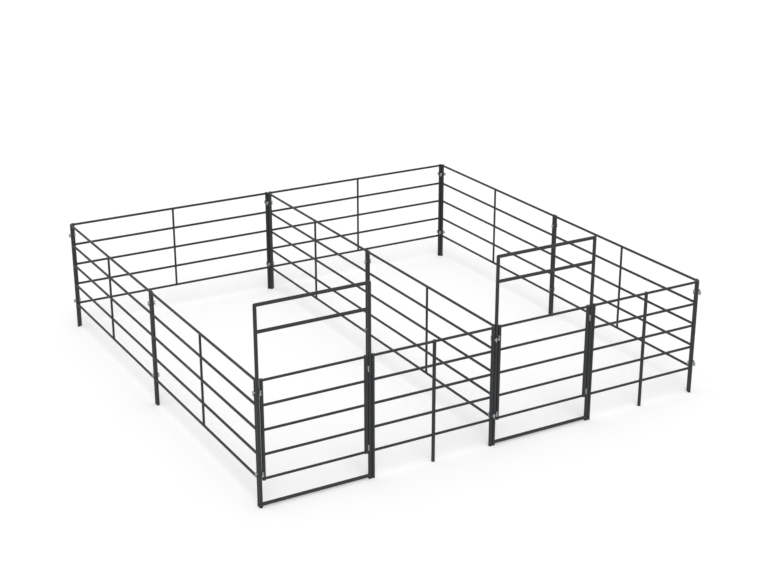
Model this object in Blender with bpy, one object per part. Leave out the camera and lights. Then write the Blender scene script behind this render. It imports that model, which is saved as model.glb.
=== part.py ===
"""Livestock stall: two pens side by side, of steel tube panels joined with drop pins.

Metres, +Z up, +Y towards the back wall, +X to the right as seen from the gates. The origin is
the centre of the footprint on the ground. Each welded panel, frame and gate leaf is one piece.
"""
import math

import bmesh
import bpy
from mathutils import Matrix, Vector

# Tubes
LEG_D = 0.042
RAIL_D = 0.032
STAY_D = 0.030
CROSS_TUBE_D = 0.041
LEAF_RAIL_D = 0.031
TUBE_SIDES = 8

# Panels: rails, legs and the stay that ties the rails at mid length
PANEL_SPAN = 2.988
RAIL_COUNT = 5
RAIL_PITCH = 0.2924
LOWEST_RAIL = 0.3442
LEG_RISE = 0.0015

# Front line: gate frame, gate leaf and short panel. The ends of a frame's post and head bar stop
# a little short of the middle of their corner, inside its ball.
POST_SPAN = 1.3668
SHORT_LEG_AT = 0.8004
FRAME_TOP = 2.3801
FRAME_SECOND = 2.0759
SILL_HEIGHT = 0.0386
CORNER_SET = 0.001
LEAF_GAP = 0.0055

# Pin lugs: an eye on a web, welded to a leg, at three levels that stack on one pin. A spare eye,
# which no other lug meets, is as tall as the whole stack.
UPPER_LUGS = 1.371
LOWER_LUGS = 0.399
EYE_D = 0.026
EYE_HOLE_D = 0.014
EYE_TO_LEG = 0.004
WEB_WIDTH = 0.012
LUG_HEIGHT = 0.014
LUG_LEVELS = 3
WEB_INSET = 0.001
HOLE_OVERRUN = 0.001
ROUND_SIDES = 8

# Drop pins
PIN_D = 0.012
PIN_HEAD_D = 0.024
PIN_HEAD_HEIGHT = 0.005
PIN_TIP = 0.010

# Lift-off gate hinges
HINGE_HEIGHT = 0.072
BARREL_D = 0.015
BARREL_TO_TUBE = 0.001
HINGE_WEB_WIDTH = 0.007
HINGE_PIN_D = 0.008
HINGE_BORE_D = 0.009
HINGE_BORE_DEPTH = 0.028
HINGE_PIN_END_GAP = 0.002
WASHER_THICK = 0.002
WASHER_HOLE_D = 0.0095

# Gate latch: a pin in a sleeve on the leaf drops through a keeper on the post
LATCH_EYE_D = 0.023
LATCH_TO_TUBE = 0.0013
SLEEVE_HEIGHT = 0.024
KEEPER_HEIGHT = 0.008
LATCH_PIN_TIP = 0.006
LATCH_HEAD_D = 0.021
LATCH_HANDLE_D = 0.010
LATCH_HANDLE_REACH = 0.025

# Clearances
TOUCH_GAP = 0.0003
LEG_GAP = 0.0004
LUG_GAP = 0.0005
PARK_GAP = 0.001

# Edges sharper than this stay sharp
SHARP_ANGLE = math.radians(50)

# Colours
PAINT = (0.045, 0.048, 0.050)
ZINC = (0.42, 0.43, 0.44)
BRASS = (0.45, 0.33, 0.13)

# Worked out: heights
TOP_RAIL = LOWEST_RAIL + (RAIL_COUNT - 1) * RAIL_PITCH
RAIL_HEIGHTS = [LOWEST_RAIL + i * RAIL_PITCH for i in range(RAIL_COUNT)]
LEG_TOP = TOP_RAIL + RAIL_D / 2 + LEG_RISE
STACK_HEIGHT = LUG_LEVELS * LUG_HEIGHT + (LUG_LEVELS - 1) * LUG_GAP

# Worked out: how far a leg stands from the corner, the joint line or the post that it meets
LEG_R = LEG_D / 2
INLINE = (LEG_D + LEG_GAP) / 2
CORNER = (LEG_D + LEG_GAP) / math.sqrt(2)
BEHIND_POST = LEG_D + LEG_GAP
EYE_OUT = LEG_R + EYE_TO_LEG + EYE_D / 2

# Worked out: grid lines of the walls
MODULE_X = PANEL_SPAN + 2 * CORNER
MIDDLE_Y = BEHIND_POST + PANEL_SPAN + INLINE
BACK_Y = MIDDLE_Y + INLINE + PANEL_SPAN + CORNER
SHORT_SPAN = MODULE_X - POST_SPAN - 2 * BEHIND_POST
END_SPAN = MODULE_X - POST_SPAN - BEHIND_POST - INLINE
ORIGIN = Vector((MODULE_X, BACK_Y / 2, 0.0))

# Worked out: gate hinge and latch axes, measured from the post that carries them
LEAF_STEP = LEG_D + LEAF_GAP
HINGE_SETBACK = math.sqrt((LEG_R + BARREL_TO_TUBE + BARREL_D / 2) ** 2 - (LEAF_STEP / 2) ** 2)
LATCH_SETBACK = math.sqrt((LEG_R + LATCH_TO_TUBE + LATCH_EYE_D / 2) ** 2 - (LEAF_STEP / 2) ** 2)
LATCH_TRAVEL = KEEPER_HEIGHT + LUG_GAP + PARK_GAP + LATCH_PIN_TIP
LATCH_STACK = SLEEVE_HEIGHT + LUG_GAP + KEEPER_HEIGHT


def clear_scene():
    for item in list(bpy.data.objects):
        bpy.data.objects.remove(item, do_unlink=True)


def collection(name):
    group = bpy.data.collections.new(name)
    bpy.context.scene.collection.children.link(group)
    return group


def material(name, colour, roughness, metallic):
    finish = bpy.data.materials.new(name)
    finish.use_nodes = True
    shader = finish.node_tree.nodes["Principled BSDF"]
    shader.inputs["Base Color"].default_value = (*colour, 1.0)
    shader.inputs["Roughness"].default_value = roughness
    shader.inputs["Metallic"].default_value = metallic
    return finish


def tool(name, fill):
    """A hidden working solid, filled by a function of its bmesh."""
    mesh = bpy.data.meshes.new(name)
    shape = bmesh.new()
    fill(shape)
    shape.to_mesh(mesh)
    shape.free()
    item = bpy.data.objects.new(name, mesh)
    item.display_type = "WIRE"
    item.hide_render = True
    cutters.objects.link(item)
    return item


def rod(start, end, diameter, sides, turn=0.0):
    """A round bar between two points, its faces turned about its axis."""
    start = Vector(start)
    end = Vector(end)
    run = end - start
    frame = Matrix.Translation((start + end) / 2) @ run.to_track_quat("Z", "Y").to_matrix().to_4x4()
    frame = frame @ Matrix.Rotation(turn, 4, "Z")
    return tool("rod", lambda shape: bmesh.ops.create_cone(
        shape, cap_ends=True, segments=sides, radius1=diameter / 2, radius2=diameter / 2,
        depth=run.length, matrix=frame))


def bar(start, end, width, height):
    """A flat bar lying between two points at the same level."""
    start = Vector(start)
    end = Vector(end)
    run = end - start
    frame = Matrix.Translation((start + end) / 2)
    frame = frame @ Matrix.Rotation(math.atan2(run.y, run.x), 4, "Z")
    frame = frame @ Matrix.Diagonal((run.length, width, height, 1.0))
    return tool("bar", lambda shape: bmesh.ops.create_cube(shape, size=1.0, matrix=frame))


def knob(centre, diameter, sides):
    """A ball that rounds off the corner where the ends of two tubes meet."""
    frame = Matrix.Translation(Vector(centre))
    return tool("knob", lambda shape: bmesh.ops.create_uvsphere(
        shape, u_segments=sides, v_segments=sides, radius=diameter / 2, matrix=frame))


def weld(name, solids, holes=()):
    """The mesh of solids joined into one body, less the holes. The working solids are removed."""
    body = solids[0]
    groups = []
    for operation, tools in (("UNION", solids[1:]), ("DIFFERENCE", holes)):
        if tools:
            group = bpy.data.collections.new(name)
            groups.append(group)
            for item in tools:
                group.objects.link(item)
            step = body.modifiers.new(operation, "BOOLEAN")
            step.operation = operation
            step.solver = "EXACT"
            step.operand_type = "COLLECTION"
            step.collection = group
    mesh = bpy.data.meshes.new_from_object(body.evaluated_get(bpy.context.evaluated_depsgraph_get()))
    mesh.name = name
    for item in [*solids, *holes]:
        bpy.data.objects.remove(item, do_unlink=True)
    for group in groups:
        bpy.data.collections.remove(group)
    mesh.shade_smooth()
    mesh.set_sharp_from_angle(angle=SHARP_ANGLE)
    return mesh


def place(name, mesh, finish, at, heading=0.0):
    """A finished piece: its own object, standing at a point of the grid, turned about Z."""
    item = bpy.data.objects.new(name, mesh)
    item.location = Vector(at) - ORIGIN
    item.rotation_euler = (0.0, 0.0, heading)
    if not mesh.materials:
        mesh.materials.append(finish)
    stall.objects.link(item)
    return item


def level_base(level):
    """The underside of a lug of that level, above the foot of its stack."""
    return level * (LUG_HEIGHT + LUG_GAP)


def lug_span(level):
    """The foot of a lug above the foot of its stack, and its height. A spare eye has no level."""
    if level is None:
        return 0.0, STACK_HEIGHT
    return level_base(level), LUG_HEIGHT


def eye_lug(leg, eye, foot, height, eye_d, hole_d, web_width):
    """An eye on a web from a leg at (x, y) to the eye's centre, and the hole through the eye."""
    middle = foot + height / 2
    web = bar((*leg, middle), (*eye, middle), web_width, height - 2 * WEB_INSET)
    ring = rod((*eye, foot), (*eye, foot + height), eye_d, ROUND_SIDES)
    hole = rod((*eye, foot - HOLE_OVERRUN), (*eye, foot + height + HOLE_OVERRUN), hole_d, ROUND_SIDES)
    return [web, ring], hole


def pin_lugs(leg_x, lugs):
    """The lugs of one leg at both heights. Each is its eye's step along the panel, face and level."""
    solids = []
    holes = []
    for foot in (UPPER_LUGS - STACK_HEIGHT / 2, LOWER_LUGS - STACK_HEIGHT / 2):
        for step, face, level in lugs:
            base, height = lug_span(level)
            pieces, hole = eye_lug((leg_x, 0.0), (leg_x + step, face * EYE_OUT),
                                   foot + base, height, EYE_D, EYE_HOLE_D, WEB_WIDTH)
            solids += pieces
            holes.append(hole)
    return solids, holes


def panel(name, span, left_lugs, right_lugs, middle_leg_at=None):
    """A welded panel along +X from its left leg: legs, rails, pin lugs, and a stay or middle leg."""
    solids = [rod((x, 0.0, 0.0), (x, 0.0, LEG_TOP), LEG_D, TUBE_SIDES) for x in (0.0, span)]
    solids += [rod((0.0, 0.0, z), (span, 0.0, z), RAIL_D, TUBE_SIDES, math.pi / TUBE_SIDES)
               for z in RAIL_HEIGHTS]
    if middle_leg_at is None:
        solids.append(rod((span / 2, 0.0, LOWEST_RAIL), (span / 2, 0.0, TOP_RAIL),
                          STAY_D, TUBE_SIDES, math.pi / TUBE_SIDES))
    else:
        solids.append(rod((middle_leg_at, 0.0, 0.0), (middle_leg_at, 0.0, LEG_TOP), LEG_D, TUBE_SIDES))
    holes = []
    for leg_x, outward, lugs in ((0.0, -1.0, left_lugs), (span, 1.0, right_lugs)):
        pieces, cuts = pin_lugs(leg_x, [(outward * out, face, level) for out, face, level in lugs])
        solids += pieces
        holes += cuts
    return weld(name, solids, holes)


def gate_frame():
    """The solids and holes of a tall frame along +X from its left post: two posts and a head bar
    that meet in rounded corners, a second head bar and a sill, with the lower hinge barrels, their
    pins and the latch keepers."""
    solids = []
    for x in (0.0, POST_SPAN):
        solids.append(rod((x, 0.0, 0.0), (x, 0.0, FRAME_TOP - CORNER_SET), LEG_D, TUBE_SIDES))
        solids.append(knob((x, 0.0, FRAME_TOP), LEG_D, TUBE_SIDES))
    solids.append(rod((CORNER_SET, 0.0, FRAME_TOP), (POST_SPAN - CORNER_SET, 0.0, FRAME_TOP),
                      CROSS_TUBE_D, TUBE_SIDES))
    turn = math.pi / TUBE_SIDES
    for z in (FRAME_SECOND, SILL_HEIGHT):
        solids.append(rod((0.0, 0.0, z), (POST_SPAN, 0.0, z), CROSS_TUBE_D, TUBE_SIDES, turn))
    holes = []
    hinge = (POST_SPAN - LEAF_STEP / 2, -HINGE_SETBACK)
    latch = (LEAF_STEP / 2, -LATCH_SETBACK)
    barrel = HINGE_HEIGHT / 2 - WASHER_THICK / 2 - TOUCH_GAP
    for centre in (UPPER_LUGS, LOWER_LUGS):
        foot = centre - HINGE_HEIGHT / 2
        pin_top = centre + WASHER_THICK / 2 + TOUCH_GAP + HINGE_BORE_DEPTH - HINGE_PIN_END_GAP
        solids.append(rod((*hinge, foot), (*hinge, foot + barrel), BARREL_D, ROUND_SIDES))
        solids.append(rod((*hinge, centre - barrel / 2), (*hinge, pin_top), HINGE_PIN_D, ROUND_SIDES))
        solids.append(bar((POST_SPAN, 0.0, foot + barrel / 2), (*hinge, foot + barrel / 2),
                          HINGE_WEB_WIDTH, barrel - 2 * WEB_INSET))
        pieces, cut = eye_lug((0.0, 0.0), latch, centre - LATCH_STACK / 2, KEEPER_HEIGHT,
                              LATCH_EYE_D, EYE_HOLE_D, WEB_WIDTH)
        solids += pieces
        holes.append(cut)
    return solids, holes


def post_lugs(x, lugs):
    """The lugs that tie a frame post to its neighbours. Each is its eye's x, y and level."""
    solids = []
    holes = []
    for foot in (UPPER_LUGS - STACK_HEIGHT / 2, LOWER_LUGS - STACK_HEIGHT / 2):
        for eye_x, eye_y, level in lugs:
            pieces, hole = eye_lug((x, 0.0), (x + eye_x, eye_y), foot + level_base(level),
                                   LUG_HEIGHT, EYE_D, EYE_HOLE_D, WEB_WIDTH)
            solids += pieces
            holes.append(hole)
    return solids, holes


def gate_leaf(name):
    """A gate leaf, measured from its hinge axis: stiles, rails, upper barrels and latch sleeves."""
    near = -LEAF_STEP / 2
    far = near - (POST_SPAN - 2 * LEAF_STEP)
    back = HINGE_SETBACK
    bottom = LOWEST_RAIL - RAIL_D / 2
    solids = [rod((x, back, bottom), (x, back, LEG_TOP), LEG_D, TUBE_SIDES) for x in (near, far)]
    solids += [rod((far, back, z), (near, back, z), LEAF_RAIL_D, TUBE_SIDES, math.pi / TUBE_SIDES)
               for z in RAIL_HEIGHTS]
    holes = []
    latch = (far - LEAF_STEP / 2, back - LATCH_SETBACK)
    barrel = HINGE_HEIGHT / 2 - WASHER_THICK / 2 - TOUCH_GAP
    for centre in (UPPER_LUGS, LOWER_LUGS):
        base = centre + WASHER_THICK / 2 + TOUCH_GAP
        solids.append(rod((0.0, 0.0, base), (0.0, 0.0, base + barrel), BARREL_D, ROUND_SIDES))
        solids.append(bar((near, back, base + barrel / 2), (0.0, 0.0, base + barrel / 2),
                          HINGE_WEB_WIDTH, barrel - 2 * WEB_INSET))
        holes.append(rod((0.0, 0.0, base - HOLE_OVERRUN), (0.0, 0.0, base + HINGE_BORE_DEPTH),
                         HINGE_BORE_D, ROUND_SIDES))
        pieces, cut = eye_lug((far, back), latch, centre + LATCH_STACK / 2 - SLEEVE_HEIGHT, SLEEVE_HEIGHT,
                              LATCH_EYE_D, EYE_HOLE_D, WEB_WIDTH)
        solids += pieces
        holes.append(cut)
    return weld(name, solids, holes)


def drop_pin():
    """A headed pin, measured from the underside of its head."""
    reach = STACK_HEIGHT + PIN_TIP
    shank = rod((0.0, 0.0, PIN_HEAD_HEIGHT / 2), (0.0, 0.0, -reach), PIN_D, ROUND_SIDES)
    head = rod((0.0, 0.0, 0.0), (0.0, 0.0, PIN_HEAD_HEIGHT), PIN_HEAD_D, ROUND_SIDES)
    return weld("drop_pin", [head, shank])


def latch_pin():
    """A pin with a finger bar, measured from the underside of its head when it is down."""
    reach = LATCH_STACK + LATCH_PIN_TIP
    shank = rod((0.0, 0.0, PIN_HEAD_HEIGHT / 2), (0.0, 0.0, -reach), PIN_D, ROUND_SIDES)
    head = rod((0.0, 0.0, 0.0), (0.0, 0.0, PIN_HEAD_HEIGHT + LATCH_HANDLE_D / 2), LATCH_HEAD_D, ROUND_SIDES)
    grip = PIN_HEAD_HEIGHT + LATCH_HANDLE_D / 4
    handle = rod((0.0, 0.0, grip), (0.0, -LATCH_HANDLE_REACH, grip), LATCH_HANDLE_D, ROUND_SIDES)
    return weld("latch_pin", [head, shank, handle])


def hinge_washer():
    """The washer that a gate leaf turns on."""
    disc = rod((0.0, 0.0, -WASHER_THICK / 2), (0.0, 0.0, WASHER_THICK / 2), BARREL_D, TUBE_SIDES)
    hole = rod((0.0, 0.0, -WASHER_THICK), (0.0, 0.0, WASHER_THICK), WASHER_HOLE_D, TUBE_SIDES)
    return weld("hinge_washer", [disc], [hole])


clear_scene()
stall = collection("livestock_stall")
cutters = collection("working_solids")
paint = material("charcoal_paint", PAINT, 0.45, 0.0)
zinc = material("zinc_plate", ZINC, 0.38, 0.85)
brass = material("brass", BRASS, 0.35, 0.9)

# Lug layouts, as (eye's step outward from its leg, face, level). A panel's face +1 is its +Y side,
# which is the left side of a wall that runs to the back. The lugs that meet on one pin have
# different levels, so that they stack, and a spare one has none.
AT_CORNER = CORNER - EYE_OUT
AT_FRONT = BEHIND_POST - EYE_OUT
AT_END = INLINE - EYE_OUT
corner_left = [(AT_CORNER, 1, None), (AT_CORNER, -1, 0)]
corner_right = [(AT_CORNER, 1, None), (AT_CORNER, -1, 1)]
inline_front = [(INLINE, 1, 0), (INLINE, -1, 0)]
inline_rear = [(INLINE, 1, 2), (INLINE, -1, 2)]
rear_by_wall = {
    "left": [(AT_CORNER, 1, None), (AT_CORNER, -1, 2)],
    "middle": [(AT_CORNER, 1, 2), (AT_CORNER, -1, 2)],
    "right": [(AT_CORNER, 1, 2), (AT_CORNER, -1, None)],
}
front_by_wall = {
    "left": [(INLINE, 1, 0), (AT_CORNER, -1, None)],
    "middle": [(AT_FRONT, 1, 0), (AT_CORNER, -1, None)],
    "right": [(AT_FRONT, 1, 0), (INLINE, -1, None)],
}

# Back wall: two panels that end at the corners and at the middle wall
back_mesh = panel("back_panel", PANEL_SPAN, corner_left, corner_right)
for side, column in (("left", 0), ("right", 1)):
    place("back_panel_" + side, back_mesh, paint, (column * MODULE_X + CORNER, BACK_Y, 0.0))

# Side and middle walls: a rear and a front panel each, running from the front line to the back
for column, side in enumerate(front_by_wall):
    x = column * MODULE_X
    rear_mesh = panel(side + "_wall_panel_rear", PANEL_SPAN, inline_front, rear_by_wall[side])
    place(side + "_wall_panel_rear", rear_mesh, paint, (x, MIDDLE_Y + INLINE, 0.0), math.pi / 2)
    front_mesh = panel(side + "_wall_panel_front", PANEL_SPAN, front_by_wall[side], inline_rear)
    place(side + "_wall_panel_front", front_mesh, paint, (x, BEHIND_POST, 0.0), math.pi / 2)

# Front line: a short panel, a gate frame and a gate leaf for each pen. The left short panel ends
# behind the next gate frame's post. The right one has no post there and is half a leg longer.
short_panels = {
    "left": (SHORT_SPAN, [(AT_FRONT, 1, 2), (INLINE, -1, 1)]),
    "right": (END_SPAN, [(AT_END, 1, 2), (INLINE, -1, None)]),
}
leaf_mesh = gate_leaf("gate_leaf")
for side, column in (("left", 0), ("right", 1)):
    x = column * MODULE_X
    span, right_lugs = short_panels[side]
    short_mesh = panel("front_panel_" + side, span, [(INLINE, 1, 0)], right_lugs, SHORT_LEG_AT)
    place("front_panel_" + side, short_mesh, paint, (x + POST_SPAN + BEHIND_POST, 0.0, 0.0))
    solids, holes = gate_frame()
    neighbour = (-EYE_OUT, INLINE, 2) if column == 0 else (-INLINE, -EYE_OUT, 2)
    for post_x, lug in ((0.0, neighbour), (POST_SPAN, (INLINE, EYE_OUT, 2))):
        pieces, cuts = post_lugs(post_x, [lug])
        solids += pieces
        holes += cuts
    place("gate_frame_" + side, weld("gate_frame_" + side, solids, holes), paint, (x, 0.0, 0.0))
    hinge_x = x + POST_SPAN - LEAF_STEP / 2
    place("gate_leaf_" + side, leaf_mesh, paint, (hinge_x, -HINGE_SETBACK, 0.0))

# Hardware at both heights: washers and latch pins on the gates, drop pins at the joints.
# Each joint is named for its place, with its pin's x and y. The highest lug of every joint is the
# top of its stack, so that all the pins sit level.
washer_mesh = hinge_washer()
latch_mesh = latch_pin()
pin_mesh = drop_pin()
joints = [
    ("back_left", EYE_OUT, BACK_Y - EYE_OUT),
    ("back_middle_left", MODULE_X - EYE_OUT, BACK_Y - EYE_OUT),
    ("back_middle_right", MODULE_X + EYE_OUT, BACK_Y - EYE_OUT),
    ("back_right", 2 * MODULE_X - EYE_OUT, BACK_Y - EYE_OUT),
    ("left_wall", -EYE_OUT, MIDDLE_Y),
    ("middle_wall", MODULE_X + EYE_OUT, MIDDLE_Y),
    ("right_wall", 2 * MODULE_X + EYE_OUT, MIDDLE_Y),
    ("front_left", -EYE_OUT, INLINE),
    ("left_hinge_post", POST_SPAN + INLINE, EYE_OUT),
    ("front_middle_wall", MODULE_X - EYE_OUT, EYE_OUT),
    ("front_middle_post", MODULE_X - INLINE, -EYE_OUT),
    ("right_hinge_post", MODULE_X + POST_SPAN + INLINE, EYE_OUT),
    ("front_right", 2 * MODULE_X - EYE_OUT, EYE_OUT),
]
for height, centre in (("upper", UPPER_LUGS), ("lower", LOWER_LUGS)):
    for name, x, y in joints:
        seat = centre + STACK_HEIGHT / 2 + TOUCH_GAP
        place("drop_pin_" + name + "_" + height, pin_mesh, zinc, (x, y, seat))
    for side, column in (("left", 0), ("right", 1)):
        x = column * MODULE_X
        hinge = (x + POST_SPAN - LEAF_STEP / 2, -HINGE_SETBACK, centre)
        place("hinge_washer_" + side + "_" + height, washer_mesh, brass, hinge)
        raised = centre + LATCH_STACK / 2 + TOUCH_GAP + LATCH_TRAVEL
        latch = (x + LEAF_STEP / 2, -LATCH_SETBACK, raised)
        place("latch_pin_" + side + "_" + height, latch_mesh, zinc, latch)
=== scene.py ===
"""Looks of a livestock stall: two pens of charcoal steel tube, joined with zinc-plated drop pins."""
import math

import bpy
from mathutils import Matrix, Vector


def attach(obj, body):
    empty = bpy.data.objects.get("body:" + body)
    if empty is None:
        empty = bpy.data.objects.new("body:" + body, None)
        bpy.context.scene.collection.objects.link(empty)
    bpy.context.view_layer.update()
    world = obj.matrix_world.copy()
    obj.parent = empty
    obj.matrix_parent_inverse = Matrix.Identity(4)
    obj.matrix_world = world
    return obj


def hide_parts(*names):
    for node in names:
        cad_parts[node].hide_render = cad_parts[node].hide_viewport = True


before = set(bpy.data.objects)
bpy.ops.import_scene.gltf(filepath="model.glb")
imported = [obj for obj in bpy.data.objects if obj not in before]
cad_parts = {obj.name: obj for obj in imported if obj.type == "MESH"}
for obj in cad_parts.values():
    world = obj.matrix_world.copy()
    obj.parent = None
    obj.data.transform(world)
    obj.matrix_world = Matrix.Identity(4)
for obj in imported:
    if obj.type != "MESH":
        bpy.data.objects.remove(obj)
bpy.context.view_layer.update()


# Camera. It stands to the left of the gates, well above a person's height, and looks down along
# the pens, as the photograph does.
camera_data = bpy.data.cameras.new("camera")
camera_data.lens = 68.93
camera_data.sensor_width = 36.0
camera_data.clip_end = 400.0
camera = bpy.data.objects.new("camera", camera_data)
camera.location = (-8.946, -16.056, 7.949)
camera.rotation_euler = (math.radians(69.289), 0.0, math.radians(-29.795))
bpy.context.scene.collection.objects.link(camera)
bpy.context.scene.camera = camera


# Studio. A plain pale floor and an even pale sky, both white to the camera and in reflections, and
# one broad soft light from high in front, a little to the left. The floor keeps the soft shadow.
FLOOR_SIZE = 400.0
FLOOR_GLOW = 0.17
SKY_LEVEL = 0.72
LAMP_LEVEL = 1.0
LAMP_SPREAD = math.radians(35)
LAMP_AT = (-3.0, -9.0, 13.0)


def background_rays(tree):
    """A value of 1 for rays from the camera and in reflections or glass, and 0 for the others."""
    path = tree.nodes.new("ShaderNodeLightPath")
    mirror = tree.nodes.new("ShaderNodeMath")
    mirror.operation = "MAXIMUM"
    tree.links.new(path.outputs["Is Glossy Ray"], mirror.inputs[0])
    tree.links.new(path.outputs["Is Transmission Ray"], mirror.inputs[1])
    seen = tree.nodes.new("ShaderNodeMath")
    seen.operation = "MAXIMUM"
    tree.links.new(path.outputs["Is Camera Ray"], seen.inputs[0])
    tree.links.new(mirror.outputs[0], seen.inputs[1])
    return seen.outputs[0]


bpy.ops.object.select_all(action="DESELECT")
bpy.ops.mesh.primitive_plane_add(size=FLOOR_SIZE, location=(0.0, 0.0, 0.0))
floor = bpy.context.object
floor.name = "floor"
floor_paint = bpy.data.materials.new("studio_floor")
floor_paint.use_nodes = True
floor_shader = floor_paint.node_tree.nodes["Principled BSDF"]
floor_shader.inputs["Base Color"].default_value = (0.9, 0.9, 0.9, 1.0)
floor_shader.inputs["Roughness"].default_value = 0.9
floor_shader.inputs["Specular IOR Level"].default_value = 0.0
floor_shader.inputs["Emission Color"].default_value = (1.0, 1.0, 1.0, 1.0)
floor_glow = floor_paint.node_tree.nodes.new("ShaderNodeMath")
floor_glow.operation = "MULTIPLY"
floor_glow.inputs[1].default_value = FLOOR_GLOW
floor_paint.node_tree.links.new(background_rays(floor_paint.node_tree), floor_glow.inputs[0])
floor_paint.node_tree.links.new(floor_glow.outputs[0], floor_shader.inputs["Emission Strength"])
floor.data.materials.append(floor_paint)

sky = bpy.data.worlds.new("studio_sky")
sky.use_nodes = True
sky_level = sky.node_tree.nodes.new("ShaderNodeMapRange")
sky_level.inputs["To Min"].default_value = SKY_LEVEL
sky_level.inputs["To Max"].default_value = 1.0
sky.node_tree.links.new(background_rays(sky.node_tree), sky_level.inputs["Value"])
sky_light = sky.node_tree.nodes["Background"]
sky_light.inputs["Color"].default_value = (1.0, 1.0, 1.0, 1.0)
sky.node_tree.links.new(sky_level.outputs["Result"], sky_light.inputs["Strength"])
bpy.context.scene.world = sky
bpy.context.scene.view_settings.view_transform = "Standard"

lamp_data = bpy.data.lights.new("key_lamp", "SUN")
lamp_data.angle = LAMP_SPREAD
lamp_data.energy = LAMP_LEVEL
lamp = bpy.data.objects.new("key_lamp", lamp_data)
lamp.location = LAMP_AT
lamp.rotation_euler = (-lamp.location).to_track_quat("-Z", "Y").to_euler()
bpy.context.scene.collection.objects.link(lamp)


# Long panels. Eight of them make the back wall, the side walls and the middle wall. Each is two
# round steel legs with five round rails and a thinner stay welded between them, and the whole
# panel is powder coated in charcoal after welding. Where two uprights stand side by side their
# centres are a post step apart, and at the back corners legs stand a corner step off the line.
LEG_D = 0.042
RAIL_D = 0.032
STAY_D = 0.030
PANEL_SPAN = 2.988
RAIL_HEIGHTS = [0.3442, 0.6366, 0.929, 1.2214, 1.5138]
LEG_TOP = 1.5313
LEG_CAP_SET = 0.0012
FOOT_PLUG_SET = 0.012
TUBE_WALL = 0.002
WELD_BEAD_D = 0.005
UPRIGHT_SIDES = 32
SMOOTH_ANGLE = math.radians(35)
FACING = 0.9
COAT_COLOUR = (0.021, 0.0225, 0.024, 1.0)
COAT_LIGHT = (0.031, 0.0335, 0.036, 1.0)
COAT_SCUFF = (0.09, 0.09, 0.088, 1.0)
WALL_LINES = {"left": -3.047963, "middle": 0.0, "right": 3.047963}
FRONT_LINE = -3.045391
BACK_LINE = 3.045391
CORNER_STEP = 0.029982
POST_STEP = 0.0424


def pick_faces(piece, wanted):
    """Goes into edit mode with only the faces selected that pass a test."""
    bpy.ops.object.mode_set(mode="EDIT")
    bpy.ops.mesh.select_mode(type="FACE")
    bpy.ops.mesh.select_all(action="DESELECT")
    bpy.ops.object.mode_set(mode="OBJECT")
    for face in piece.data.polygons:
        face.select = wanted(face)
    bpy.ops.object.mode_set(mode="EDIT")


def tube(start, end, diameter, sides=24):
    """A round tube between two points in the plane of its panel."""
    start = Vector(start)
    end = Vector(end)
    run = end - start
    bpy.ops.object.select_all(action="DESELECT")
    bpy.ops.mesh.primitive_cylinder_add(
        vertices=sides, radius=diameter / 2, depth=run.length, location=(start + end) / 2,
        rotation=(0.0, math.atan2(run.x, run.z), 0.0))
    bpy.ops.object.transform_apply(location=True, rotation=True, scale=True)
    return bpy.context.object


def upright(x, bottom, top, foot_set=FOOT_PLUG_SET, cap_set=LEG_CAP_SET):
    """A leg or post. Its cut ends show the tube's wall, with a plug set a little way inside."""
    piece = tube((x, 0.0, bottom), (x, 0.0, top), LEG_D, UPRIGHT_SIDES)
    for side, depth in ((-1.0, foot_set), (1.0, cap_set)):
        pick_faces(piece, lambda face: face.normal.z * side > FACING)
        bpy.ops.mesh.inset(thickness=TUBE_WALL)
        bpy.ops.mesh.extrude_region_move(TRANSFORM_OT_translate={"value": (0.0, 0.0, -side * depth)})
        bpy.ops.object.mode_set(mode="OBJECT")
    return piece


def weld_bead(at, way, tube_d, onto_d):
    """The bead where a tube's end, which runs off the way given, meets another tube's round side."""
    bpy.ops.object.select_all(action="DESELECT")
    bpy.ops.mesh.primitive_torus_add(
        major_segments=24, minor_segments=6, major_radius=tube_d / 2, minor_radius=WELD_BEAD_D / 2)
    bead = bpy.context.object
    for point in bead.data.vertices:
        point.co.z += math.sqrt(max((onto_d / 2) ** 2 - point.co.y ** 2, 0.0))
    bead.location = at
    bead.rotation_euler = (0.0, math.atan2(way[0], way[1]), 0.0)
    bpy.ops.object.transform_apply(location=True, rotation=True, scale=True)
    return bead


def cross_tube(left, right, height, diameter, onto_d=LEG_D):
    """A rail between two uprights, with its two weld beads."""
    return [tube((left, 0.0, height), (right, 0.0, height), diameter),
            weld_bead((left, 0.0, height), (1.0, 0.0), diameter, onto_d),
            weld_bead((right, 0.0, height), (-1.0, 0.0), diameter, onto_d)]


def join_solids(name, pieces):
    """Pieces fused into one skin, with round surfaces smooth and real edges sharp."""
    body = pieces[0]
    others = bpy.data.collections.new(name)
    for piece in pieces[1:]:
        others.objects.link(piece)
    fuse = body.modifiers.new("fuse", "BOOLEAN")
    fuse.operation = "UNION"
    fuse.solver = "MANIFOLD"
    fuse.operand_type = "COLLECTION"
    fuse.collection = others
    bpy.ops.object.select_all(action="DESELECT")
    body.select_set(True)
    bpy.context.view_layer.objects.active = body
    bpy.ops.object.modifier_apply(modifier="fuse")
    for piece in pieces[1:]:
        bpy.data.objects.remove(piece)
    bpy.data.collections.remove(others)
    body.name = name
    bpy.ops.object.shade_smooth_by_angle(angle=SMOOTH_ANGLE)
    return body


def stand(pattern, name, place, finish):
    """A copy of a pattern piece, with its own mesh, moved to its place and given its finish."""
    mesh = pattern.data.copy()
    mesh.name = name
    mesh.transform(place)
    mesh.materials.clear()
    mesh.materials.append(finish)
    piece = bpy.data.objects.new(name, mesh)
    bpy.context.scene.collection.objects.link(piece)
    return piece


def post_place(x, y, heading=0.0):
    """Where a welded piece stands: the foot of its left leg, turned about the upright."""
    return Matrix.Translation((x, y, 0.0)) @ Matrix.Rotation(math.radians(heading), 4, "Z")


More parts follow.
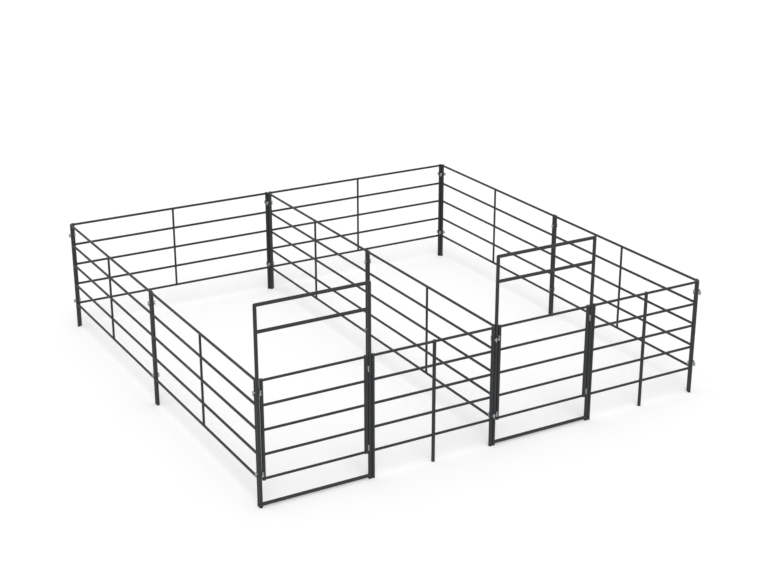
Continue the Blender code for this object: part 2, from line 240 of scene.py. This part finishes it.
def socket(tree, name, kind, way, value=None):
    """A named input or output on a node group."""
    item = tree.interface.new_socket(name=name, in_out=way, socket_type=kind)
    if value is not None:
        item.default_value = value


# The speckle group gives a broken mask of spots, and the grain group a fine bumpy height and a
# slow drift of tone.
speckle = bpy.data.node_groups.new("speckle", "ShaderNodeTree")
socket(speckle, "Vector", "NodeSocketVector", "INPUT")
socket(speckle, "Scale", "NodeSocketFloat", "INPUT", 40.0)
socket(speckle, "Threshold", "NodeSocketFloat", "INPUT", 0.6)
socket(speckle, "Mask", "NodeSocketFloat", "OUTPUT")
speckle_in = speckle.nodes.new("NodeGroupInput")
speckle_out = speckle.nodes.new("NodeGroupOutput")
speckle_noise = speckle.nodes.new("ShaderNodeTexNoise")
speckle_noise.inputs["Detail"].default_value = 6.0
speckle_noise.inputs["Roughness"].default_value = 0.65
speckle_over = speckle.nodes.new("ShaderNodeMath")
speckle_over.operation = "SUBTRACT"
speckle_edge = speckle.nodes.new("ShaderNodeMath")
speckle_edge.operation = "MULTIPLY"
speckle_edge.use_clamp = True
speckle_edge.inputs[1].default_value = 14.0
speckle.links.new(speckle_in.outputs["Vector"], speckle_noise.inputs["Vector"])
speckle.links.new(speckle_in.outputs["Scale"], speckle_noise.inputs["Scale"])
speckle.links.new(speckle_noise.outputs["Fac"], speckle_over.inputs[0])
speckle.links.new(speckle_in.outputs["Threshold"], speckle_over.inputs[1])
speckle.links.new(speckle_over.outputs[0], speckle_edge.inputs[0])
speckle.links.new(speckle_edge.outputs[0], speckle_out.inputs["Mask"])

grain = bpy.data.node_groups.new("grain", "ShaderNodeTree")
socket(grain, "Vector", "NodeSocketVector", "INPUT")
socket(grain, "Scale", "NodeSocketFloat", "INPUT", 600.0)
socket(grain, "Height", "NodeSocketFloat", "OUTPUT")
socket(grain, "Tone", "NodeSocketFloat", "OUTPUT")
grain_in = grain.nodes.new("NodeGroupInput")
grain_out = grain.nodes.new("NodeGroupOutput")
grain_fine = grain.nodes.new("ShaderNodeTexNoise")
grain_fine.inputs["Detail"].default_value = 3.0
grain_wide = grain.nodes.new("ShaderNodeTexNoise")
grain_wide.inputs["Scale"].default_value = 2.2
grain_wide.inputs["Detail"].default_value = 3.0
grain.links.new(grain_in.outputs["Vector"], grain_fine.inputs["Vector"])
grain.links.new(grain_in.outputs["Scale"], grain_fine.inputs["Scale"])
grain.links.new(grain_in.outputs["Vector"], grain_wide.inputs["Vector"])
grain.links.new(grain_fine.outputs["Fac"], grain_out.inputs["Height"])
grain.links.new(grain_wide.outputs["Fac"], grain_out.inputs["Tone"])


SPECK_SCALE = 55.0
GRAIN_DEPTH = 0.0004
DULLER = 0.07
GLOSSIER = 0.05


def worn_finish(name, colour, light, worn, roughness, metallic, specular, grain_scale, wear_at, bump):
    """A metal finish that drifts between two tones, with a fine grain and small worn specks."""
    finish = bpy.data.materials.new(name)
    finish.use_nodes = True
    tree = finish.node_tree
    shader = tree.nodes["Principled BSDF"]
    shader.inputs["Metallic"].default_value = metallic
    shader.inputs["Specular IOR Level"].default_value = specular
    where = tree.nodes.new("ShaderNodeTexCoord")
    surface = tree.nodes.new("ShaderNodeGroup")
    surface.node_tree = grain
    surface.inputs["Scale"].default_value = grain_scale
    spots = tree.nodes.new("ShaderNodeGroup")
    spots.node_tree = speckle
    spots.inputs["Scale"].default_value = SPECK_SCALE
    spots.inputs["Threshold"].default_value = wear_at
    tone = tree.nodes.new("ShaderNodeMix")
    tone.data_type = "RGBA"
    tone.inputs["A"].default_value = colour
    tone.inputs["B"].default_value = light
    wear = tree.nodes.new("ShaderNodeMix")
    wear.data_type = "RGBA"
    wear.inputs["B"].default_value = worn
    gloss = tree.nodes.new("ShaderNodeMapRange")
    gloss.inputs["From Min"].default_value = 0.3
    gloss.inputs["From Max"].default_value = 0.7
    gloss.inputs["To Min"].default_value = roughness - GLOSSIER
    gloss.inputs["To Max"].default_value = roughness + DULLER
    relief = tree.nodes.new("ShaderNodeBump")
    relief.inputs["Strength"].default_value = bump
    relief.inputs["Distance"].default_value = GRAIN_DEPTH
    tree.links.new(where.outputs["Object"], surface.inputs["Vector"])
    tree.links.new(where.outputs["Object"], spots.inputs["Vector"])
    tree.links.new(surface.outputs["Tone"], tone.inputs["Factor"])
    tree.links.new(tone.outputs["Result"], wear.inputs["A"])
    tree.links.new(spots.outputs["Mask"], wear.inputs["Factor"])
    tree.links.new(wear.outputs["Result"], shader.inputs["Base Color"])
    tree.links.new(surface.outputs["Tone"], gloss.inputs["Value"])
    tree.links.new(gloss.outputs["Result"], shader.inputs["Roughness"])
    tree.links.new(surface.outputs["Height"], relief.inputs["Height"])
    tree.links.new(relief.outputs["Normal"], shader.inputs["Normal"])
    return finish


powder_coat = worn_finish("charcoal_powder_coat", COAT_COLOUR, COAT_LIGHT, COAT_SCUFF,
                          roughness=0.5, metallic=0.0, specular=0.3, grain_scale=900.0,
                          wear_at=0.73, bump=0.12)

panel_pieces = [upright(x, 0.0, LEG_TOP) for x in (0.0, PANEL_SPAN)]
for height in RAIL_HEIGHTS:
    panel_pieces += cross_tube(0.0, PANEL_SPAN, height, RAIL_D)
stay_x = PANEL_SPAN / 2
panel_pieces.append(tube((stay_x, 0.0, RAIL_HEIGHTS[0]), (stay_x, 0.0, RAIL_HEIGHTS[-1]), STAY_D))
for lower, upper in zip(RAIL_HEIGHTS, RAIL_HEIGHTS[1:]):
    panel_pieces.append(weld_bead((stay_x, 0.0, lower), (0.0, 1.0), STAY_D, RAIL_D))
    panel_pieces.append(weld_bead((stay_x, 0.0, upper), (0.0, -1.0), STAY_D, RAIL_D))
long_panel = join_solids("long_panel", panel_pieces)

long_panels = {
    "back_panel_left": post_place(WALL_LINES["left"] + CORNER_STEP, BACK_LINE),
    "back_panel_right": post_place(WALL_LINES["middle"] + CORNER_STEP, BACK_LINE),
}
rear_foot = BACK_LINE - CORNER_STEP - PANEL_SPAN
front_foot = FRONT_LINE + POST_STEP
for side, x in WALL_LINES.items():
    long_panels[side + "_wall_panel_rear"] = post_place(x, rear_foot, 90.0)
    long_panels[side + "_wall_panel_front"] = post_place(x, front_foot, 90.0)
for name, place in long_panels.items():
    piece = stand(long_panel, name + "_tubes", place, powder_coat)
    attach(piece, "pens")
    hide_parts(name)
bpy.data.objects.remove(long_panel)


# Short panels. One closes the front of each pen beside its gate, whose two posts stand a post
# span apart. It is made as the long panels are, but with a third leg down to the ground near its
# middle instead of a stay. The right one has no gate post at its far end and is half a leg longer.
SHORT_SPANS = {"front_panel_left": 1.596363, "front_panel_right": 1.617563}
SHORT_LEG_AT = 0.8004
POST_SPAN = 1.3668
past_gate = POST_SPAN + POST_STEP
short_panels = {
    "front_panel_left": post_place(WALL_LINES["left"] + past_gate, FRONT_LINE),
    "front_panel_right": post_place(WALL_LINES["middle"] + past_gate, FRONT_LINE),
}
for name, place in short_panels.items():
    span = SHORT_SPANS[name]
    short_pieces = [upright(x, 0.0, LEG_TOP) for x in (0.0, SHORT_LEG_AT, span)]
    for height in RAIL_HEIGHTS:
        short_pieces += cross_tube(0.0, span, height, RAIL_D)
        short_pieces.append(weld_bead((SHORT_LEG_AT, 0.0, height), (1.0, 0.0), RAIL_D, LEG_D))
        short_pieces.append(weld_bead((SHORT_LEG_AT, 0.0, height), (-1.0, 0.0), RAIL_D, LEG_D))
    short_panel = join_solids("short_panel", short_pieces)
    piece = stand(short_panel, name + "_tubes", place, powder_coat)
    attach(piece, "pens")
    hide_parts(name)
    bpy.data.objects.remove(short_panel)


# Gate frames. Each is a tall goal with posts of the same tube as the legs. Its head bar meets them
# in ground, eased corners, a second bar runs under it, and a sill on the ground holds the posts.
CROSS_TUBE_D = 0.041
FRAME_TOP = 2.3801
FRAME_BARS = [2.0759, 0.0386]
CORNER_SET = 0.001
FRAME_CAP_SET = 0.0004


def corner_ball(x, z):
    """The rounded corner where the head tube meets a post."""
    bpy.ops.object.select_all(action="DESELECT")
    bpy.ops.mesh.primitive_uv_sphere_add(
        segments=UPRIGHT_SIDES, ring_count=UPRIGHT_SIDES // 2, radius=LEG_D / 2, location=(x, 0.0, z))
    bpy.ops.object.transform_apply(location=True, rotation=True, scale=True)
    return bpy.context.object


frame_pieces = []
for x in (0.0, POST_SPAN):
    frame_pieces.append(upright(x, 0.0, FRAME_TOP - CORNER_SET, cap_set=FRAME_CAP_SET))
    frame_pieces.append(corner_ball(x, FRAME_TOP))
frame_pieces.append(tube((CORNER_SET, 0.0, FRAME_TOP), (POST_SPAN - CORNER_SET, 0.0, FRAME_TOP),
                         CROSS_TUBE_D, UPRIGHT_SIDES))
for height in FRAME_BARS:
    frame_pieces += cross_tube(0.0, POST_SPAN, height, CROSS_TUBE_D)
gate_frame = join_solids("gate_frame", frame_pieces)
gate_frames = {
    "gate_frame_left": post_place(WALL_LINES["left"], FRONT_LINE),
    "gate_frame_right": post_place(WALL_LINES["middle"], FRONT_LINE),
}
for name, place in gate_frames.items():
    piece = stand(gate_frame, name + "_tubes", place, powder_coat)
    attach(piece, "pens")
    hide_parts(name)
bpy.data.objects.remove(gate_frame)


# Gate leaves. Each is two stiles of the leg tube with five slightly thinner rails between them,
# hung inside its frame on the right-hand post.
LEAF_STEP = 0.0475
LEAF_RAIL_D = 0.031
LEAF_FOOT = 0.3282
LEAF_PLUG_SET = 0.0003
stiles = (LEAF_STEP, POST_SPAN - LEAF_STEP)
leaf_pieces = [upright(x, LEAF_FOOT, LEG_TOP, foot_set=LEAF_PLUG_SET) for x in stiles]
for height in RAIL_HEIGHTS:
    leaf_pieces += cross_tube(*stiles, height, LEAF_RAIL_D)
gate_leaf = join_solids("gate_leaf", leaf_pieces)
for side, line in (("left", "left"), ("right", "middle")):
    place = post_place(WALL_LINES[line], FRONT_LINE)
    piece = stand(gate_leaf, "gate_leaf_" + side + "_tubes", place, powder_coat)
    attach(piece, "gate_" + side)
    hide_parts("gate_leaf_" + side)
bpy.data.objects.remove(gate_leaf)


# Pin lugs. Short zinc-plated eyes on webs, welded to the legs and posts at two heights, in up to
# three layers that stack on one drop pin. A spare eye is as tall as a whole stack. The last four
# lengths are the steps of the eyes outward along the panel, each for its own kind of meeting.
LUG_CENTRES = {"upper": 1.371, "lower": 0.399}
LUG_HEIGHT = 0.014
LUG_STEP = 0.0145
STACK_HEIGHT = 0.043
EYE_D = 0.026
EYE_HOLE_D = 0.014
EYE_OUT = 0.038
WEB_WIDTH = 0.012
WEB_INSET = 0.001
WEB_REACH = 0.0435
LUG_EDGE = 0.0008
ROOT_WELD_SIZE = (0.0026, 0.0085, 0.0082)
INLINE = 0.0212
AT_CORNER = -0.008019
AT_FRONT = 0.0044
AT_END = -0.0168

ZINC_COLOUR = (0.33, 0.34, 0.35, 1.0)
ZINC_LIGHT = (0.43, 0.44, 0.45, 1.0)
ZINC_STAIN = (0.20, 0.20, 0.195, 1.0)
zinc_plate = worn_finish("zinc_plate", ZINC_COLOUR, ZINC_LIGHT, ZINC_STAIN,
                         roughness=0.38, metallic=0.85, specular=0.5, grain_scale=420.0,
                         wear_at=0.64, bump=0.2)


def ease_edges(piece, width):
    """The small rounding that the edges of a pressed or turned piece have."""
    bpy.ops.object.select_all(action="DESELECT")
    piece.select_set(True)
    bpy.context.view_layer.objects.active = piece
    edges = piece.modifiers.new("edges", "BEVEL")
    edges.width = width
    edges.segments = 2
    edges.limit_method = "ANGLE"
    edges.angle_limit = math.radians(50)
    bpy.ops.object.modifier_apply(modifier="edges")
    bpy.ops.object.shade_smooth_by_angle(angle=SMOOTH_ANGLE)


def ring(outer_d, hole_d, foot, height):
    """An upright ring round the Z axis."""
    bpy.ops.object.select_all(action="DESELECT")
    bpy.ops.mesh.primitive_cylinder_add(vertices=28, radius=outer_d / 2, depth=height,
                                        location=(0.0, 0.0, foot + height / 2))
    bpy.ops.object.transform_apply(location=True, rotation=True, scale=True)
    piece = bpy.context.object
    pick_faces(piece, lambda face: abs(face.normal.z) > FACING)
    bpy.ops.mesh.inset(thickness=(outer_d - hole_d) / 2)
    bpy.ops.mesh.bridge_edge_loops()
    bpy.ops.object.mode_set(mode="OBJECT")
    return piece


def web(near, far, width, foot, height):
    """A flat web along X, from a ring back into the tube that carries it."""
    bpy.ops.object.select_all(action="DESELECT")
    bpy.ops.mesh.primitive_cube_add(size=1.0, location=((near + far) / 2, 0.0, foot + height / 2))
    piece = bpy.context.object
    bpy.ops.object.mode_set(mode="EDIT")
    bpy.ops.mesh.select_all(action="SELECT")
    bpy.ops.transform.resize(value=(abs(far - near), width, height))
    bpy.ops.object.mode_set(mode="OBJECT")
    bpy.ops.object.transform_apply(location=True, rotation=True, scale=True)
    return piece


def eye_lug(name, outer_d, foot, height):
    """A ring with its web, which runs back along -X from the eye's centre."""
    near = -(outer_d + EYE_HOLE_D) / 4
    arm = web(near, -WEB_REACH, WEB_WIDTH, foot + WEB_INSET, height - 2 * WEB_INSET)
    piece = join_solids(name, [ring(outer_d, EYE_HOLE_D, foot, height), arm])
    ease_edges(piece, LUG_EDGE)
    return piece


def root_weld():
    """The flattened weld round a web's root, centred on the tube's skin."""
    bpy.ops.object.select_all(action="DESELECT")
    bpy.ops.mesh.primitive_uv_sphere_add(segments=16, ring_count=8, radius=1.0)
    bpy.ops.object.mode_set(mode="EDIT")
    bpy.ops.mesh.select_all(action="SELECT")
    bpy.ops.transform.resize(value=ROOT_WELD_SIZE)
    bpy.ops.object.mode_set(mode="OBJECT")
    bpy.ops.object.shade_smooth_by_angle(angle=SMOOTH_ANGLE)
    return bpy.context.object


def gather(name, copies, body):
    """Copies joined as one set of fittings that moves with a body."""
    bpy.ops.object.select_all(action="DESELECT")
    for copy in copies:
        copy.select_set(True)
    bpy.context.view_layer.objects.active = copies[0]
    bpy.ops.object.join()
    fittings = bpy.context.object
    fittings.name = name
    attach(fittings, body)
    return fittings


def fit_lugs(name, place, lugs):
    """The lugs of one welded piece at both heights. Each is its leg's x, eye's x and y, and level."""
    copies = []
    for centre in LUG_CENTRES.values():
        for leg_x, eye_x, eye_y, level in lugs:
            heading = Matrix.Rotation(math.atan2(eye_y, eye_x - leg_x), 4, "Z")
            if level is None:
                pattern, foot, middle = spare_lug, centre - STACK_HEIGHT / 2, centre
            else:
                foot = centre - STACK_HEIGHT / 2 + level * LUG_STEP
                pattern, middle = stack_lug, foot + LUG_HEIGHT / 2
            eye = Matrix.Translation((eye_x, eye_y, foot)) @ heading
            skin = Matrix.Translation((LEG_D / 2, 0.0, 0.0))
            root = Matrix.Translation((leg_x, 0.0, middle)) @ heading @ skin
            copies.append(stand(pattern, name, place @ eye, zinc_plate))
            copies.append(stand(lug_weld, name, place @ root, zinc_plate))
    return gather(name + "_lugs", copies, "pens")


def end_lugs(leg_x, outward, lugs):
    """The lugs of an end leg, from their eyes' steps outward along the panel, faces and levels."""
    return [(leg_x, leg_x + outward * out, face * EYE_OUT, level) for out, face, level in lugs]


stack_lug = eye_lug("stack_lug", EYE_D, 0.0, LUG_HEIGHT)
spare_lug = eye_lug("spare_lug", EYE_D, 0.0, STACK_HEIGHT)
lug_weld = root_weld()
back_lugs = (end_lugs(0.0, -1.0, [(AT_CORNER, 1, None), (AT_CORNER, -1, 0)])
             + end_lugs(PANEL_SPAN, 1.0, [(AT_CORNER, 1, None), (AT_CORNER, -1, 1)]))
rear_ends = {
    "left": [(AT_CORNER, 1, None), (AT_CORNER, -1, 2)],
    "middle": [(AT_CORNER, 1, 2), (AT_CORNER, -1, 2)],
    "right": [(AT_CORNER, 1, 2), (AT_CORNER, -1, None)],
}
front_ends = {
    "left": [(INLINE, 1, 0), (AT_CORNER, -1, None)],
    "middle": [(AT_FRONT, 1, 0), (AT_CORNER, -1, None)],
    "right": [(AT_FRONT, 1, 0), (INLINE, -1, None)],
}
for name in ("back_panel_left", "back_panel_right"):
    fit_lugs(name, long_panels[name], back_lugs)
for side in WALL_LINES:
    name = side + "_wall_panel_rear"
    fit_lugs(name, long_panels[name], end_lugs(0.0, -1.0, [(INLINE, 1, 0), (INLINE, -1, 0)])
             + end_lugs(PANEL_SPAN, 1.0, rear_ends[side]))
    name = side + "_wall_panel_front"
    fit_lugs(name, long_panels[name], end_lugs(0.0, -1.0, front_ends[side])
             + end_lugs(PANEL_SPAN, 1.0, [(INLINE, 1, 2), (INLINE, -1, 2)]))
short_ends = {
    "front_panel_left": [(AT_FRONT, 1, 2), (INLINE, -1, 1)],
    "front_panel_right": [(AT_END, 1, 2), (INLINE, -1, None)],
}
for name, place in short_panels.items():
    fit_lugs(name, place, end_lugs(0.0, -1.0, [(INLINE, 1, 0)])
             + end_lugs(SHORT_SPANS[name], 1.0, short_ends[name]))
hinge_post_lug = (POST_SPAN, POST_SPAN + INLINE, EYE_OUT, 2)
fit_lugs("gate_frame_left", gate_frames["gate_frame_left"],
         [(0.0, -EYE_OUT, INLINE, 2), hinge_post_lug])
fit_lugs("gate_frame_right", gate_frames["gate_frame_right"],
         [(0.0, -INLINE, -EYE_OUT, 2), hinge_post_lug])
for pattern in (stack_lug, spare_lug):
    bpy.data.objects.remove(pattern)


# Drop pins. A turned zinc-plated pin with a flat head falls through each stack of eyes and locks
# two panels together. It lifts out by hand.
PIN_D = 0.012
PIN_HEAD_D = 0.024
PIN_HEAD_HEIGHT = 0.005
PIN_REACH = 0.053
PIN_TIP_D = 0.006
PIN_TIP_LENGTH = 0.003
PIN_EDGE = 0.0007
PIN_SEAT_GAP = 0.0003
HEAD_DISH = 0.0006


def pin_head(head_d, foot, top):
    """A flat round head."""
    bpy.ops.object.select_all(action="DESELECT")
    bpy.ops.mesh.primitive_cylinder_add(vertices=28, radius=head_d / 2, depth=top - foot,
                                        location=(0.0, 0.0, (top + foot) / 2))
    bpy.ops.object.transform_apply(location=True, rotation=True, scale=True)
    head = bpy.context.object
    pick_faces(head, lambda face: face.normal.z > FACING)
    bpy.ops.mesh.inset(thickness=head_d / 8)
    bpy.ops.mesh.extrude_region_move(TRANSFORM_OT_translate={"value": (0.0, 0.0, -HEAD_DISH)})
    bpy.ops.object.mode_set(mode="OBJECT")
    return head


def pin_shank(reach):
    """A round shank down from under a head, with a chamfered tip."""
    bpy.ops.object.select_all(action="DESELECT")
    depth = reach - PIN_TIP_LENGTH
    bpy.ops.mesh.primitive_cylinder_add(vertices=24, radius=PIN_D / 2, depth=depth + PIN_HEAD_HEIGHT / 2,
                                        location=(0.0, 0.0, PIN_HEAD_HEIGHT / 4 - depth / 2))
    bpy.ops.object.transform_apply(location=True, rotation=True, scale=True)
    shank = bpy.context.object
    pick_faces(shank, lambda face: face.normal.z < -FACING)
    bpy.ops.mesh.extrude_region_move(TRANSFORM_OT_translate={"value": (0.0, 0.0, -PIN_TIP_LENGTH)})
    bpy.ops.transform.resize(value=(PIN_TIP_D / PIN_D, PIN_TIP_D / PIN_D, 1.0))
    bpy.ops.object.mode_set(mode="OBJECT")
    return shank


drop_pin = join_solids("drop_pin", [pin_head(PIN_HEAD_D, 0.0, PIN_HEAD_HEIGHT), pin_shank(PIN_REACH)])
ease_edges(drop_pin, PIN_EDGE)
left, middle, right = WALL_LINES.values()
hinge_post_eye = POST_SPAN + INLINE
inside_back = BACK_LINE - EYE_OUT
inside_front = FRONT_LINE + EYE_OUT
wall_joint = rear_foot - INLINE
pin_spots = {
    "back_left": (left + EYE_OUT, inside_back),
    "back_middle_left": (middle - EYE_OUT, inside_back),
    "back_middle_right": (middle + EYE_OUT, inside_back),
    "back_right": (right - EYE_OUT, inside_back),
    "left_wall": (left - EYE_OUT, wall_joint),
    "middle_wall": (middle + EYE_OUT, wall_joint),
    "right_wall": (right + EYE_OUT, wall_joint),
    "front_left": (left - EYE_OUT, FRONT_LINE + INLINE),
    "left_hinge_post": (left + hinge_post_eye, inside_front),
    "front_middle_wall": (middle - EYE_OUT, inside_front),
    "front_middle_post": (middle - INLINE, FRONT_LINE - EYE_OUT),
    "right_hinge_post": (middle + hinge_post_eye, inside_front),
    "front_right": (right - EYE_OUT, inside_front),
}
for height, centre in LUG_CENTRES.items():
    for spot, (x, y) in pin_spots.items():
        seat = Matrix.Translation((x, y, centre + STACK_HEIGHT / 2 + PIN_SEAT_GAP))
        piece = stand(drop_pin, "drop_pin_" + spot + "_" + height + "_turned", seat, zinc_plate)
        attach(piece, "pin_" + spot + "_" + height)
        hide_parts("drop_pin_" + spot + "_" + height)
bpy.data.objects.remove(drop_pin)


# Gate hinges. A zinc-plated pin stands in a barrel that is welded to the frame's post, and the
# leaf's own barrel drops over it on to a brass washer.
HINGE_BARREL_D = 0.015
HINGE_BARREL_HEIGHT = 0.0347
HINGE_FOOT = 0.036
HINGE_PIN_D = 0.008
HINGE_BORE_D = 0.009
HINGE_PIN_TOP = 0.0273
HINGE_LIFT = 0.0013
HINGE_WEB_WIDTH = 0.007
HINGE_WEB_NEAR = 0.006
HINGE_OUT = (-0.02375, -0.017498)
HINGE_EDGE = 0.0006
HINGE_PIN_ROOT = 0.010
HINGE_PIN_EDGE = 0.0015
HINGE_PIN_GRIP = 0.0004
WASHER_THICK = 0.002
WASHER_EDGE = 0.0003

BRASS_COLOUR = (0.45, 0.33, 0.13, 1.0)
BRASS_LIGHT = (0.55, 0.42, 0.18, 1.0)
BRASS_STAIN = (0.22, 0.16, 0.07, 1.0)
brass = worn_finish("brass", BRASS_COLOUR, BRASS_LIGHT, BRASS_STAIN,
                    roughness=0.35, metallic=0.9, specular=0.5, grain_scale=500.0,
                    wear_at=0.62, bump=0.1)


def hinge_pin():
    """The pin that stands up out of the lower barrel, with a rounded end."""
    bpy.ops.object.select_all(action="DESELECT")
    bpy.ops.mesh.primitive_cylinder_add(
        vertices=20, radius=HINGE_PIN_D / 2, depth=HINGE_PIN_TOP + HINGE_PIN_ROOT,
        location=(0.0, 0.0, (HINGE_PIN_TOP - HINGE_PIN_ROOT) / 2))
    bpy.ops.object.transform_apply(location=True, rotation=True, scale=True)
    piece = bpy.context.object
    pick_faces(piece, lambda face: face.normal.z > FACING)
    bpy.ops.mesh.bevel(offset=HINGE_PIN_EDGE, segments=2, affect="EDGES")
    bpy.ops.object.mode_set(mode="OBJECT")
    return piece


reach = -math.hypot(*HINGE_OUT)
web_height = HINGE_BARREL_HEIGHT - 2 * WEB_INSET
lower_arm = web(-HINGE_WEB_NEAR, reach, HINGE_WEB_WIDTH, WEB_INSET - HINGE_FOOT, web_height)
lower_barrel = ring(HINGE_BARREL_D, HINGE_PIN_D - HINGE_PIN_GRIP, -HINGE_FOOT, HINGE_BARREL_HEIGHT)
lower_hinge = join_solids("lower_hinge", [lower_barrel, lower_arm])
ease_edges(lower_hinge, HINGE_EDGE)
lower_hinge = join_solids("lower_hinge", [lower_hinge, hinge_pin()])
upper_arm = web(-HINGE_WEB_NEAR, reach, HINGE_WEB_WIDTH, HINGE_LIFT + WEB_INSET, web_height)
upper_barrel = ring(HINGE_BARREL_D, HINGE_BORE_D, HINGE_LIFT, HINGE_BARREL_HEIGHT)
upper_hinge = join_solids("upper_hinge", [upper_barrel, upper_arm])
ease_edges(upper_hinge, HINGE_EDGE)
washer = ring(HINGE_BARREL_D, HINGE_BORE_D, -WASHER_THICK / 2, WASHER_THICK)
ease_edges(washer, WASHER_EDGE)
to_post = math.atan2(HINGE_OUT[1], HINGE_OUT[0])
to_stile = math.atan2(HINGE_OUT[1], -HINGE_OUT[0])
for side, line in (("left", "left"), ("right", "middle")):
    axis = Vector((WALL_LINES[line] + POST_SPAN + HINGE_OUT[0], FRONT_LINE + HINGE_OUT[1], 0.0))
    on_post = []
    on_leaf = []
    for height, centre in LUG_CENTRES.items():
        at = Matrix.Translation(axis + Vector((0.0, 0.0, centre)))
        on_post.append(stand(lower_hinge, "hinge", at @ Matrix.Rotation(to_post, 4, "Z"), zinc_plate))
        on_leaf.append(stand(upper_hinge, "hinge", at @ Matrix.Rotation(to_stile, 4, "Z"), zinc_plate))
        piece = stand(washer, "hinge_washer_" + side + "_" + height + "_turned", at, brass)
        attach(piece, "pens")
        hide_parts("hinge_washer_" + side + "_" + height)
    gather("gate_frame_" + side + "_hinges", on_post, "pens")
    gather("gate_leaf_" + side + "_hinges", on_leaf, "gate_" + side)
for pattern in (lower_hinge, upper_hinge, washer):
    bpy.data.objects.remove(pattern)


# Gate latches. A zinc-plated pin with a finger bar slides in a sleeve on the leaf and drops
# through a keeper on the frame's post. It is shown drawn up, so the gate is free.
LATCH_EYE_D = 0.023
LATCH_STACK = 0.0325
SLEEVE_HEIGHT = 0.024
KEEPER_HEIGHT = 0.008
LATCH_OUT = (0.02375, -0.024049)
LATCH_RAISED = 0.0318
LATCH_REACH = 0.0385
LATCH_HEAD_D = 0.021
LATCH_HEAD_TOP = 0.010
LATCH_GRIP = 0.0075
LATCH_HANDLE_D = 0.010
LATCH_HANDLE_REACH = 0.025
LATCH_HANDLE_EDGE = 0.002


def finger_bar():
    """The short round bar on a latch pin's head, with eased ends."""
    bpy.ops.object.select_all(action="DESELECT")
    bpy.ops.mesh.primitive_cylinder_add(
        vertices=20, radius=LATCH_HANDLE_D / 2, depth=LATCH_HANDLE_REACH,
        location=(0.0, -LATCH_HANDLE_REACH / 2, LATCH_GRIP), rotation=(math.radians(90), 0.0, 0.0))
    bpy.ops.object.transform_apply(location=True, rotation=True, scale=True)
    piece = bpy.context.object
    pick_faces(piece, lambda face: face.normal.y < -FACING)
    bpy.ops.mesh.bevel(offset=LATCH_HANDLE_EDGE, segments=2, affect="EDGES")
    bpy.ops.object.mode_set(mode="OBJECT")
    return piece


keeper = eye_lug("keeper", LATCH_EYE_D, -LATCH_STACK / 2, KEEPER_HEIGHT)
sleeve = eye_lug("sleeve", LATCH_EYE_D, LATCH_STACK / 2 - SLEEVE_HEIGHT, SLEEVE_HEIGHT)
latch_head = pin_head(LATCH_HEAD_D, 0.0, LATCH_HEAD_TOP)
latch_body = join_solids("latch_pin", [latch_head, pin_shank(LATCH_REACH)])
ease_edges(latch_body, PIN_EDGE)
latch_pin = join_solids("latch_pin", [latch_body, finger_bar()])
to_post = math.atan2(LATCH_OUT[1], LATCH_OUT[0])
to_stile = math.atan2(LATCH_OUT[1], -LATCH_OUT[0])
for side, line in (("left", "left"), ("right", "middle")):
    axis = Vector((WALL_LINES[line] + LATCH_OUT[0], FRONT_LINE + LATCH_OUT[1], 0.0))
    on_post = []
    on_leaf = []
    for height, centre in LUG_CENTRES.items():
        at = Matrix.Translation(axis + Vector((0.0, 0.0, centre)))
        on_post.append(stand(keeper, "latch", at @ Matrix.Rotation(to_post, 4, "Z"), zinc_plate))
        on_leaf.append(stand(sleeve, "latch", at @ Matrix.Rotation(to_stile, 4, "Z"), zinc_plate))
        raised = Matrix.Translation(axis + Vector((0.0, 0.0, centre + LATCH_RAISED)))
        piece = stand(latch_pin, "latch_pin_" + side + "_" + height + "_turned", raised, zinc_plate)
        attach(piece, "latch_" + side + "_" + height)
        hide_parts("latch_pin_" + side + "_" + height)
    gather("gate_frame_" + side + "_keepers", on_post, "pens")
    gather("gate_leaf_" + side + "_sleeves", on_leaf, "gate_" + side)
for pattern in (keeper, sleeve, latch_pin, lug_weld):
    bpy.data.objects.remove(pattern)
